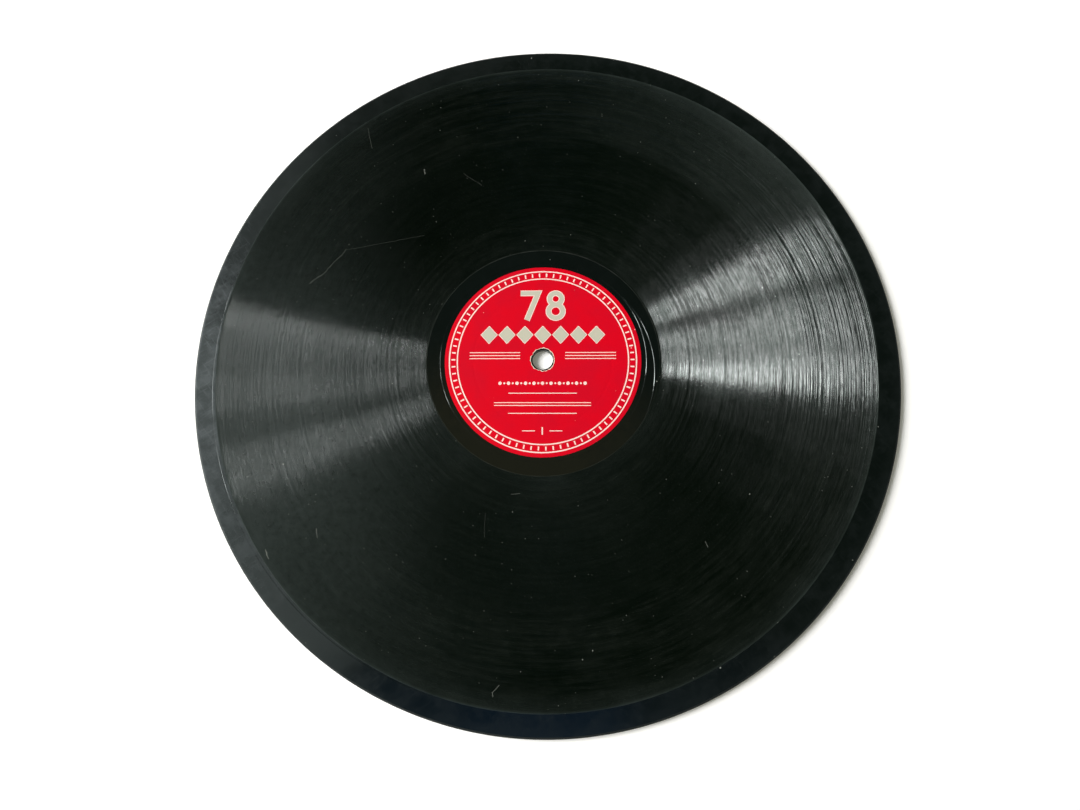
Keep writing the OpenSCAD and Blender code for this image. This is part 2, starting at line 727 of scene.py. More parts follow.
@dataclass(frozen=True)
class Shellac(Finish):
    """Black shellac with a gloss of its own and dust on it."""

    dust: Colour = (0.20, 0.21, 0.18, 1.0)
    dust_roughness: float = 0.5
    ior: float = 1.55
    sheen: float = 0.39
    sheen_tint: Colour = (0.90, 1.0, 0.98, 1.0)

    def dusted(self, sketch: NodeSketch, dust: Socket, colour: Socket, roughness: Socket) -> Inputs:
        """Lays dust over a colour and a roughness.

        Args:
            sketch: The material's tree.
            dust: Where the dust lies, from 0 to 1.
            colour: The colour under it.
            roughness: The roughness under it.

        Returns:
            What goes into the shader's inputs.
        """
        return {
            "Base Color": sketch.mix(dust, colour, self.dust),
            "Roughness": sketch.plus(roughness, sketch.times(dust, self.dust_roughness), True),
            "IOR": self.ior,
            "Specular IOR Level": self.sheen,
            "Specular Tint": self.sheen_tint,
        }


@dataclass(frozen=True)
class GroovedShellac(Shellac):
    """Black shellac where the recorded groove makes it silky."""

    name: str = "grooved_shellac"
    base: Colour = (0.0010, 0.0025, 0.0010, 1.0)
    film: Colour = (0.0029, 0.0046, 0.0028, 1.0)
    groove_dust: Colour = (0.0078, 0.0102, 0.0072, 1.0)
    # Pale colour of the edge dust and of the veils below: dust, and painted sheen where the veils lie beside
    # the lit streaks
    veil: Colour = (0.0255, 0.0325, 0.0285, 1.0)
    sheen: float = 0.15
    sheen_tint: Colour = (0.86, 1.0, 0.94, 1.0)
    film_sheen: Span = (0.09, 0.62)
    film_roughness: float = 0.1
    worn_roughness: Span = (0.09, 0.22)
    cloudy_roughness: float = 0.06
    dash_height: float = 0.032 * MM
    fine_dust: float = 0.4
    edge_dust: tuple[Triple, ...] = (
        (117.4 * MM, 16.0 * MM, 0.2),
        (117.4 * MM, 2.6 * MM, 0.4),
        (41.9 * MM, 20.0 * MM, 0.09),
    )
    edge_patches: Span = (0.7, 1.3)
    quiet_start: Span = (46.0 * MM, 62.0 * MM)
    quiet_end: Span = (83.0 * MM, 90.0 * MM)
    quiet_dust: float = 0.35
    # Pale patches beside the lit streaks: painted sheen, partly dust
    dust_and_sheen_veils: tuple[Veil, ...] = (
        Veil((-125.0, -29.0), 25.0, 110.0, 1.0),
        Veil((104.0, 82.0), 0.0, 70.0, 0.38, 87.5),
        Veil((48.0, 100.0), 0.0, 58.0, 0.15, 87.5),
        Veil((-56.0, -104.0), 0.0, 58.0, 0.22),
        Veil((-92.0, 74.0), 0.0, 58.0, 0.28),
        Veil((0.0, -46.0), 0.0, 62.0, 0.12),
    )
    marks: tuple[Mark, ...] = (
        Mark((-44.2, 47.8), (-72.9, 42.3), 0.22, 0.16),
        Mark((-72.9, 42.3), (-80.1, 34.1), 0.28, 0.3, 2.2),
        Mark((-80.1, 34.1), (-85.7, 29.2), 0.4, 0.34, 2.2),
        Mark((-67.8, 92.6), (-65.8, 84.0), 0.35, 0.22),
        Mark((-30.3, 73.0), (-23.3, 68.0), 0.3, 0.14),
        Mark((-45.4, 74.8), (-44.9, 73.0), 0.6, 0.6),
        Mark((-93.6, -66.6), (-92.4, -69.6), 0.4, 0.7, 3.0),
        Mark((-76.9, -59.5), (-76.4, -62.6), 0.35, 0.5, 2.0),
        Mark((-13.6, -108.7), (-15.6, -110.8), 0.3, 0.45, 1.2),
        Mark((-15.6, -110.8), (-15.4, -112.0), 0.35, 0.5),
        Mark((-10.6, -47.5), (-7.5, -47.3), 0.25, 0.3),
        Mark((54.6, -63.0), (55.3, -64.8), 0.3, 0.4),
        Mark((-19.1, -53.8), (-19.4, -61.8), 0.22, 0.1),
    )

    def shade(self, sketch: NodeSketch) -> Inputs:
        """Tilts the groove's walls, films and dulls some turns, scatters dust, lint and scratches, and
        paints sheen beside the lit streaks.

        Args:
            sketch: The material's tree.

        Returns:
            What goes into the shader's inputs.
        """
        grain = GrooveGrain().place(sketch)
        haze = HandlingHaze().place(sketch, patches=45.0, streaks=1500.0)
        dust = DustSpecks().mask(sketch, cells=300.0, share=0.05, size=0.1)
        fine = DustSpecks().mask(sketch, cells=900.0, share=0.06, size=0.22)
        dust = sketch.most(dust, sketch.times(fine, self.fine_dust))
        for mark in self.marks:
            dust = sketch.most(dust, mark.mask(sketch))
        radius = sketch.radius()
        past = sketch.ease(radius, *self.quiet_end)
        quiet = sketch.maths("SUBTRACT", sketch.ease(radius, *self.quiet_start), past)
        played = sketch.spread(quiet, 1.0, self.quiet_dust)
        colour = sketch.mix(sketch.times(haze["Mask"], played), self.base, self.film)
        colour = sketch.mix(sketch.times(grain["Dust"], played), colour, self.groove_dust)
        # Edge dust, then painted sheen beside the lit streaks that is partly dust, all in one pale colour
        veil = 0.0
        for ring, width, strength in self.edge_dust:
            line = RingLine().mask(sketch, ring_radius=ring, width=width)
            veil = sketch.plus(veil, sketch.times(line, strength))
        veil = sketch.times(veil, sketch.spread(haze["Mask"], *self.edge_patches))
        for each in self.dust_and_sheen_veils:
            veil = sketch.plus(veil, each.mask(sketch), True)
        colour = sketch.mix(veil, colour, self.veil)
        worn = sketch.spread(grain["Lines"], *self.worn_roughness)
        roughness = sketch.plus(worn, sketch.times(haze["Mask"], self.cloudy_roughness))
        return {
            **self.dusted(sketch, dust, colour, roughness),
            "Normal": sketch.bump(grain["Height"], self.dash_height),
            "Coat Weight": sketch.spread(grain["Film"], *self.film_sheen),
            "Coat Roughness": self.film_roughness,
        }


@dataclass(frozen=True)
class PolishedShellac(Shellac):
    """Black shellac of the rim and the label's land: the press's gloss, hazed and scuffed by handling, with
    painted sheen on the left rim's scuffs.
    """

    name: str = "polished_shellac"
    base: Colour = (0.0024, 0.0040, 0.0030, 1.0)
    film: Colour = (0.0064, 0.0086, 0.0076, 1.0)
    # Pale colour of the left rim's scuffs: real scuffs, with painted sheen of the bright card that the rim
    # mirrors there
    scuff_and_sheen: Colour = (0.0620, 0.0680, 0.0720, 1.0)
    brown_veil: Colour = (0.0095, 0.0096, 0.0056, 1.0)
    worn_roughness: Span = (0.1, 0.2)
    edge_roughness: float = 0.75
    edge_start: float = 124.05 * MM
    edge_ease: float = 0.15 * MM
    held_from: Span = (45.0 * MM, 115.0 * MM)
    held_shares: Span = (0.25, 1.0)
    handled_from: float = 120.0 * MM
    handled_share: float = 0.5
    cloud_share: float = 0.68
    stroke_share: float = 0.45
    scuff_and_sheen_shares: Span = (0.18, 0.6)
    band_edge: float = 41.45 * MM
    band_edge_width: float = 0.5 * MM
    band_edge_strength: float = 0.14
    band_edge_patches: Span = (0.4, 1.0)
    land_veils: tuple[Veil, ...] = (
        Veil((-22.0, -30.0), 8.0, 46.0, 1.0),
        Veil((14.0, -37.0), 12.0, 44.0, 0.8),
    )
    # The left rim, which mirrors the bright card: the only place where the scuffs are painted pale, as
    # painted sheen
    left_rim_sheen_veil: Veil = Veil((-122.0, -14.0), 12.0, 95.0, 1.0)

    def shade(self, sketch: NodeSketch) -> Inputs:
        """Clouds the gloss with haze and scuffs, paints sheen onto the left rim's scuffs, dusts the band's
        edge and leaves the turned edge matt.

        Args:
            sketch: The material's tree.

        Returns:
            What goes into the shader's inputs.
        """
        haze = HandlingHaze().place(sketch, patches=170.0, streaks=1600.0)
        dust = DustSpecks().mask(sketch, cells=400.0, share=0.05, size=0.14)
        line = RingLine().mask(sketch, ring_radius=self.band_edge, width=self.band_edge_width)
        broken = sketch.times(line, sketch.spread(haze["Mask"], *self.band_edge_patches))
        dust = sketch.most(dust, sketch.times(broken, self.band_edge_strength))
        radius = sketch.radius()
        held = sketch.spread(sketch.ease(radius, *self.held_from), *self.held_shares)
        cloud = sketch.times(haze["Mask"], self.cloud_share)
        rubbed = sketch.plus(cloud, sketch.times(haze["Streaks"], self.stroke_share), True)
        worn = sketch.times(rubbed, held)
        handled = sketch.times(sketch.ease(radius, self.handled_from, self.edge_start), self.handled_share)
        colour = sketch.mix(sketch.plus(worn, handled, True), self.base, self.film)
        # Painted sheen: the scuffs turn pale only on the left rim, where it mirrors the bright card
        scuffs_and_sheen = sketch.times(self.left_rim_sheen_veil.mask(sketch), sketch.spread(rubbed, *self.scuff_and_sheen_shares))
        colour = sketch.mix(sketch.times(scuffs_and_sheen, held), colour, self.scuff_and_sheen)
        browned = 0.0
        for veil in self.land_veils:
            browned = sketch.plus(browned, veil.mask(sketch), True)
        colour = sketch.mix(browned, colour, self.brown_veil)
        edge = sketch.ease(radius, self.edge_start, self.edge_start + self.edge_ease)
        gloss = sketch.spread(worn, *self.worn_roughness)
        return self.dusted(sketch, dust, colour, sketch.most(gloss, sketch.times(edge, self.edge_roughness)))


@dataclass(frozen=True)
class LabelPaper(Finish):
    """Red printed paper, with bare fibre where its hole is torn."""

    name: str = "red_label_paper"
    red: Colour = (0.65, 0.001, 0.011, 1.0)
    worn_red: Colour = (0.58, 0.002, 0.014, 1.0)
    bare: Colour = (0.78, 0.68, 0.55, 1.0)
    speck: Colour = (0.85, 0.45, 0.40, 1.0)
    tone_range: Span = (0.35, 0.7)
    torn_range: Span = (0.3, 0.6)
    roughness: Span = (0.44, 0.6)
    sheen: float = 0.05
    tooth_height: float = 0.004 * MM
    torn_layer: str = "torn"

    def shade(self, sketch: NodeSketch) -> Inputs:
        """Varies the red slowly, rubs pale specks into it and bares the torn edge.

        Args:
            sketch: The material's tree.

        Returns:
            What goes into the shader's inputs.
        """
        fibre = PaperFibre().place(sketch)
        specks = DustSpecks().mask(sketch, cells=700.0, share=0.03, size=0.2)
        torn = sketch.ease(sketch.layer(self.torn_layer), *self.torn_range)
        toned = sketch.mix(sketch.ease(fibre["Tone"], *self.tone_range), self.red, self.worn_red)
        return {
            "Base Color": sketch.mix(torn, sketch.mix(specks, toned, self.speck), self.bare),
            "Roughness": sketch.spread(fibre["Tone"], *self.roughness),
            "Normal": sketch.bump(fibre["Height"], self.tooth_height),
            "Specular IOR Level": self.sheen,
        }


@dataclass(frozen=True)
class LabelInk(Finish):
    """Opaque printing ink, thinned by the paper's tooth."""

    name: str = "cream_label_ink"
    colour: Colour = (0.90, 0.68, 0.60, 1.0)
    thin_colour: Colour = (0.84, 0.42, 0.38, 1.0)
    roughness: Span = (0.35, 0.55)
    thin_range: Span = (0.5, 0.75)
    thin_share: float = 0.7

    def shade(self, sketch: NodeSketch) -> Inputs:
        """Lets the paper's tone show through in patches.

        Args:
            sketch: The material's tree.

        Returns:
            What goes into the shader's inputs.
        """
        fibre = PaperFibre().place(sketch, tooth=5000.0, tone=1400.0)
        thin = sketch.times(sketch.ease(fibre["Tone"], *self.thin_range), self.thin_share)
        colour = sketch.mix(thin, self.colour, self.thin_colour)
        return {"Base Color": colour, "Roughness": sketch.spread(fibre["Height"], *self.roughness)}


@dataclass(frozen=True)
class RecordedGroove:
    """The one spiral groove of a side, wound inwards and anticlockwise as seen from above.

    Lines beside it are named by their turn count on +X: whole counts follow the groove's middle line, and
    half counts the ridge between two turns.
    """

    outer_limit: float
    end_radius: float
    end_angle: float
    pitch: float = 0.28 * MM
    depth: float = 0.083 * MM
    section_places: tuple[float, ...] = (0.0, 0.15, 0.3, 0.4, 0.5)
    section_shares: tuple[float, ...] = (1.0, 0.636, 0.273, 0.03, 0.0)
    loudness: Span = (0.85, 1.1)
    first_turns: float = 0.95
    last_turns: float = 1.04
    fade_turns: float = 0.04
    spare_turns: int = 3
    seed: int = 78

    @property
    def turns(self) -> float:
        """Turns from the start, on +X, to the end at its own angle."""
        last = self.end_angle / FULL_TURN
        return math.floor((self.outer_limit - self.end_radius) / self.pitch - last) + last

    @property
    def start_radius(self) -> float:
        """Radius at which the groove starts."""
        return self.end_radius + self.turns * self.pitch

    def row_counts(self, outer: float, inner: float) -> Array:
        """Gives the turn counts of the lines that a ring between two ridges needs.

        Each turn has lines at the section's places on both sides of its middle line, and shares its ridges
        with the turns beside it.

        Args:
            outer: Turn count of the ring's outer ridge.
            inner: Turn count of its inner ridge.

        Returns:
            The counts, from inside to outside.
        """
        places = np.array(self.section_places)
        around = np.concatenate([-places[-2:0:-1], places])
        middles = np.arange(outer + places[-1], inner)
        lines = (middles[:, None] + around[None, :]).ravel()
        return np.append(outer, lines)[::-1]

    def radius_at(self, count: Array, angle: Array) -> Array:
        """Gives radii, lines by angles: the start's, less the pitch times (count + angle / full turn)."""
        return self.start_radius - self.pitch * (count[:, None] + angle[None, :] / FULL_TURN)

    def depth_at(self, count: Array, angle: Array) -> Array:
        """Gives the depth of the same lines below the surface.

        The section is a V with a rounded ridge: shares of the depth at places from whole counts, where it is
        full, to half counts, where it is nothing. Each turn has its own depth from a seeded row of loud and
        quiet turns, eased from one turn to the next, and the first turns are shallower than the last.

        Args:
            count: Turn count of each line on +X.
            angle: Angles about the spindle hole, from 0 to a full turn.

        Returns:
            The depths, fading to nothing before the groove's start and after its end.
        """
        nearest = np.rint(count)
        section = np.interp(np.abs(count - nearest), self.section_places, self.section_shares)
        wound = nearest[:, None] + angle[None, :] / FULL_TURN
        fade = smooth_step(wound / self.fade_turns) * smooth_step((self.turns - wound) / self.fade_turns)
        draws = math.ceil(self.turns) + self.spare_turns
        played = np.random.default_rng(self.seed).uniform(*self.loudness, draws)
        loudness = np.interp(wound, np.arange(len(played)), played)
        deepening = (self.last_turns - self.first_turns) * np.clip(wound / self.turns, 0.0, 1.0)
        return self.depth * fade * (self.first_turns + deepening) * loudness * section[:, None]


@dataclass
class PressedDisc:
    """The shellac disc, alike on both sides: rim, seven rings of playing band and land round the label."""

    radius: float
    thickness: float
    edge_radius: float = 0.9 * MM
    corner_rows: int = 12
    rim_width: float = 7.6 * MM
    hole_radius: float = 3.62 * MM
    seat_radius: float = 34.95 * MM
    seat_depth: float = 0.16 * MM
    stop_radius: float = 36.6 * MM
    land_radius: float = 41.8 * MM
    run_out_half_sweep: float = math.radians(40.5)
    run_out_fade: float = math.radians(3.0)
    cut_width: float = 0.2 * MM
    cut_depth: float = 0.08 * MM
    cut_places: tuple[float, ...] = (0.75, 0.56, 0.5, 0.08, 0.02)
    cut_shares: tuple[float, ...] = (0.0, 0.0, 0.08, 0.94, 1.0)
    flat_hold: float = 0.05 * MM
    lead_in_cut_width: float = 0.12 * MM
    lead_in_depth: float = 0.03 * MM
    lead_in_start: float = 0.25 * MM
    lead_in_width: float = 0.9 * MM
    lead_in_middle: float = math.radians(205.0)
    lead_in_half_sweep: float = math.radians(55.0)
    lead_in_fade: float = 0.5
    first_ridge: float = -1.5
    spare_ridges: float = 1.5
    band_rings: int = 7
    band_columns: int = 144
    seam_places: Triple = (0.02, 0.15, 0.45)
    land_columns: int = 720
    step_gap: float = 0.0001
    grooved: GroovedShellac = GroovedShellac()
    polished: PolishedShellac = PolishedShellac()
    node: str = "shellac_disc"
    slot: str = "shellac"
    sharp_angle: float = math.radians(55.0)

    @property
    def groove(self) -> RecordedGroove:
        """The recorded groove of a side, which ends where the run-out groove starts."""
        end_angle = FULL_TURN - self.run_out_half_sweep
        return RecordedGroove(self.radius - self.rim_width, self.land_radius, end_angle)

    @property
    def last_ridge(self) -> float:
        """Turn count of the ridge just inside the last turn."""
        return math.floor(self.groove.turns) + self.spare_ridges

    def angles(self) -> Array:
        """Gives the columns of rim and land: even ones, and one close to each side of the step on +X."""
        even = np.arange(self.land_columns) * (FULL_TURN / self.land_columns)
        return np.concatenate([even[:1], [self.step_gap], even[1:], [FULL_TURN - self.step_gap]])

    def band_angles(self) -> Array:
        """Gives the columns of the playing band: even ones, and closer ones beside the seam on +X.

        The closer columns bring the shading of the seam's two sides together.

        Returns:
            The angles, from 0 to a full turn.
        """
        even = np.linspace(0.0, FULL_TURN, self.band_columns + 1)
        beside = np.array(self.seam_places) * even[1]
        return np.sort(np.concatenate([even, beside, FULL_TURN - beside]))

    def ridge(self, count: float, angle: Array) -> Array:
        """Gives the radius of one ridge of the playing band, as a single row."""
        return self.groove.radius_at(np.array([count]), angle)

    def two_sided(self, radius: Array, depth: Array, angle: Array, closed: bool = True) -> Surface:
        """Makes a ring from the rows of its upper side, which the lower side repeats turned over about X.

        A half turn about X swaps each angle for its negative, so the lower rows are the upper ones with
        their columns in reverse order, and they run back inwards to close the section.

        Args:
            radius: Distances from the axis on the upper side, from inside to outside.
            depth: Depths below the surface, in the same layout.
            angle: Angle of each column from 0, the same set for both ways round.
            closed: True if the last column joins the first, False if it goes a full turn.

        Returns:
            The ring.
        """
        columns = np.arange(len(angle))
        mirrored = -columns % len(angle) if closed else columns[::-1]
        distances = np.concatenate([radius, radius[::-1, mirrored]])
        heights = np.concatenate([self.thickness - depth, depth[::-1, mirrored]])
        return ring_surface(distances, angle, heights, closed)

    def cut_rows(self, middle: Array, width: float, depth: Array) -> tuple[Array, Array]:
        """Gives the rows of one cut groove, with a row each side that keeps the flat beside it flat.

        The section is a V with rounded lips and floor: shares of the depth at places across the width.

        Args:
            middle: Radius of the groove's middle line in each column.
            width: Width of the groove at the surface.
            depth: Depth of the groove in each column.

        Returns:
            Radii and depths of the rows from inside to outside.
        """
        half_places = np.array(self.cut_places)
        places = np.concatenate([-half_places, half_places[::-1]])
        shares = np.concatenate([self.cut_shares, self.cut_shares[::-1]])
        return middle[None, :] + places[:, None] * width, shares[:, None] * depth[None, :]

    def rim(self) -> Surface:
        """Builds the rim: smooth flat, lead-in groove and rounded edge.

        The lead-in groove's middle line eases outwards by its width at the middle of its sweep, and its
        depth fades to nothing at the ends of the sweep. The edge's corner is a quarter circle.

        Returns:
            The rim's closed ring.
        """
        angle = self.angles()
        near = 1.0 - np.abs(wrapped(angle - self.lead_in_middle)) / self.lead_in_half_sweep
        band_edge = self.ridge(self.first_ridge, angle)
        middle = band_edge[0] + self.lead_in_start + self.lead_in_width * smooth_step(near)
        lead_in_depth = self.lead_in_depth * smooth_step(near / self.lead_in_fade)
        cut_radius, cut_depth = self.cut_rows(middle, self.lead_in_cut_width, lead_in_depth)
        corner = np.linspace(0.0, math.pi / 2.0, self.corner_rows)
        flat_end = self.radius - self.edge_radius - self.flat_hold
        edge_radius = np.append(flat_end, self.radius - self.edge_radius * (1.0 - np.sin(corner)))
        edge_depth = np.append(0.0, self.edge_radius * (1.0 - np.cos(corner)))
        level = np.ones_like(angle)
        radius = np.concatenate([band_edge, cut_radius, edge_radius[:, None] * level])
        depth = np.concatenate([0.0 * level[None, :], cut_depth, edge_depth[:, None] * level])
        return self.two_sided(radius, depth, angle)

    def playing_ring(self, outer: float, inner: float) -> Surface:
        """Builds one ring of the playing band, whose rows follow the spiral groove.

        The rows go once round from +X and end one pitch further in, where the same ring's next rows start,
        so the ring is cut open on +X and its two cut faces meet there.

        Args:
            outer: Turn count of its outer ridge.
            inner: Turn count of its inner ridge.

        Returns:
            The ring, with the recorded groove in both sides.
        """
        angle = self.band_angles()
        count = self.groove.row_counts(outer, inner)
        radius = self.groove.radius_at(count, angle)
        return self.two_sided(radius, self.groove.depth_at(count, angle), angle, False)

    def playing_band(self) -> list[Surface]:
        """Splits the playing band at its ridges into rings of few enough faces.

        Returns:
            The rings from outside to inside, each ending on the ridge where the next starts.
        """
        turns = round(self.last_ridge - self.first_ridge)
        cuts = np.linspace(0, turns, self.band_rings + 1).astype(int) + self.first_ridge
        return [self.playing_ring(outer, inner) for outer, inner in zip(cuts[:-1], cuts[1:])]

    def label_land(self) -> Surface:
        """Builds the middle of the disc: spindle hole, label seats, stop groove and run-out groove.

        Seen from above, the run-out groove's middle line falls evenly from the playing band to the stop
        groove while the angle goes from minus to plus half its sweep, and goes back at no depth over the
        rest of the turn.

        Returns:
            The land's closed ring.
        """
        angle = self.angles()
        turned = wrapped(angle)
        half_sweep = self.run_out_half_sweep
        width = self.cut_width
        lip = self.cut_places[0] * width
        band_edge = self.ridge(self.last_ridge, angle)
        outermost = band_edge[0] - lip - self.flat_hold
        innermost = self.stop_radius + 2.0 * lip + self.flat_hold
        along = (turned + half_sweep) / (2.0 * half_sweep)
        going_in = self.land_radius + (self.stop_radius - self.land_radius) * along
        back_share = (np.abs(turned) - half_sweep) / (math.pi - half_sweep)
        half_way = (outermost + innermost) / 2.0
        far_end = np.where(turned > 0.0, innermost, outermost)
        going_back = far_end + (half_way - far_end) * smooth_step(back_share)
        line = np.where(np.abs(turned) < half_sweep, going_in, going_back)
        middle = np.clip(line, innermost, outermost)
        strength = smooth_step((half_sweep - np.abs(turned)) / self.run_out_fade)
        level = np.ones_like(angle)
        stop_radius, stop_depth = self.cut_rows(self.stop_radius * level, width, self.cut_depth * level)
        run_radius, run_depth = self.cut_rows(middle, width, self.cut_depth * strength)
        seat = np.array([self.hole_radius, self.seat_radius, self.seat_radius])
        seat_depth = np.array([self.seat_depth, self.seat_depth, 0.0])
        radius = np.concatenate([seat[:, None] * level, stop_radius, run_radius, band_edge])
        depth = np.concatenate([seat_depth[:, None] * level, stop_depth, run_depth, 0.0 * level[None, :]])
        return self.two_sided(radius, depth, angle)

    def build(self) -> None:
        """Builds and dresses the disc's pieces: rim, land and rings of playing band."""
        smooth = {"disc_rim": self.rim(), "disc_label_land": self.label_land()}
        numbered = enumerate(self.playing_band(), start=1)
        rings = {f"disc_playing_ring_{number}": ring for number, ring in numbered}
        for finish, shapes in ((self.polished, smooth), (self.grooved, rings)):
            for name, surface in shapes.items():
                finish.dress(new_piece(name, surface, self.node, self.sharp_angle))


@dataclass
class PaperLabel:
    """One paper label, pressed into the disc with ring marks and torn a little round the hole."""

    side: Side
    radius: float
    face: float
    disc_thickness: float
    paper_thickness: float = 0.12 * MM
    hole_radius: float = 4.1 * MM
    tear: float = 0.28 * MM
    tear_limits: Span = (-0.25, 1.0)
    # Share, count round the hole and shift of each wave in the torn edge
    tear_waves: tuple[Triple, ...] = ((0.45, 3.0, 0.7), (0.3, 7.0, 2.1), (0.25, 17.0, 0.3), (0.2, 31.0, 1.9))
    fray_width: float = 0.42 * MM
    fray_shares: Span = (0.35, 1.3)
    # Count round the hole and shift of the two waves in the bared fibre's width
    fray_waves: tuple[Span, Span] = ((5.0, 0.4), (13.0, 1.0))
    mark_radii: Span = (33.9 * MM, 24.6 * MM)
    mark_depth: float = 0.02 * MM
    mark_width: float = 0.35 * MM
    rounding: float = 0.03 * MM
    columns: int = 384
    rows: int = 110
    row_crowding: float = 1.5
    finish: LabelPaper = LabelPaper()
    slot: str = "label_paper"
    sharp_angle: float = math.radians(60.0)

    def torn_edge(self, angle: Array) -> Array:
        """Gives the hole's worn radius: its own, less a ragged wave that leaves tongues of paper."""
        wave = sum(share * np.sin(count * angle + shift) for share, count, shift in self.tear_waves)
        return self.hole_radius - self.tear * np.clip(wave, *self.tear_limits)

    def surface(self) -> tuple[Surface, Array]:
        """Builds the paper.

        Rows run from the torn edge to the outer one, closer together near the hole. The upper face drops by
        a bell curve at each pressed ring mark and rounds off at both edges. The lower face is flat.

        Returns:
            The paper as a surface of the upper side, and each point's share of bared fibre.
        """
        angle = np.arange(self.columns) * (FULL_TURN / self.columns)
        inner = self.torn_edge(angle)
        share = np.linspace(0.0, 1.0, self.rows)[:, None] ** self.row_crowding
        radius = inner + (self.radius - inner) * share
        height = np.full_like(radius, self.face)
        for mark in self.mark_radii:
            height -= self.mark_depth * np.exp(-(((radius - mark) / self.mark_width) ** 2))
        for from_edge in (radius - inner, self.radius - radius):
            height -= self.rounding * np.exp(-from_edge / self.rounding)
        first, second = (np.sin(count * angle + shift) for count, shift in self.fray_waves)
        least, more = self.fray_shares
        fray = self.fray_width * (least + more * (0.5 + 0.5 * first * second))
        torn = 1.0 - smooth_step((radius - inner) / fray)
        floor = np.full_like(radius, self.face - self.paper_thickness)
        ring = ring_surface(np.concatenate([radius, radius[::-1]]), angle, np.concatenate([height, floor]))
        return ring, np.concatenate([torn, torn[::-1]]).ravel()

    def build(self) -> None:
        """Builds and dresses the label on its side."""
        side = self.side.value
        surface, torn = self.surface()
        placed = surface.on_side(self.side, self.disc_thickness)
        piece = new_piece(f"label_paper_{side}", placed, f"label_side_{side}", self.sharp_angle)
        set_layer(piece, self.finish.torn_layer, torn)
        self.finish.dress(piece)


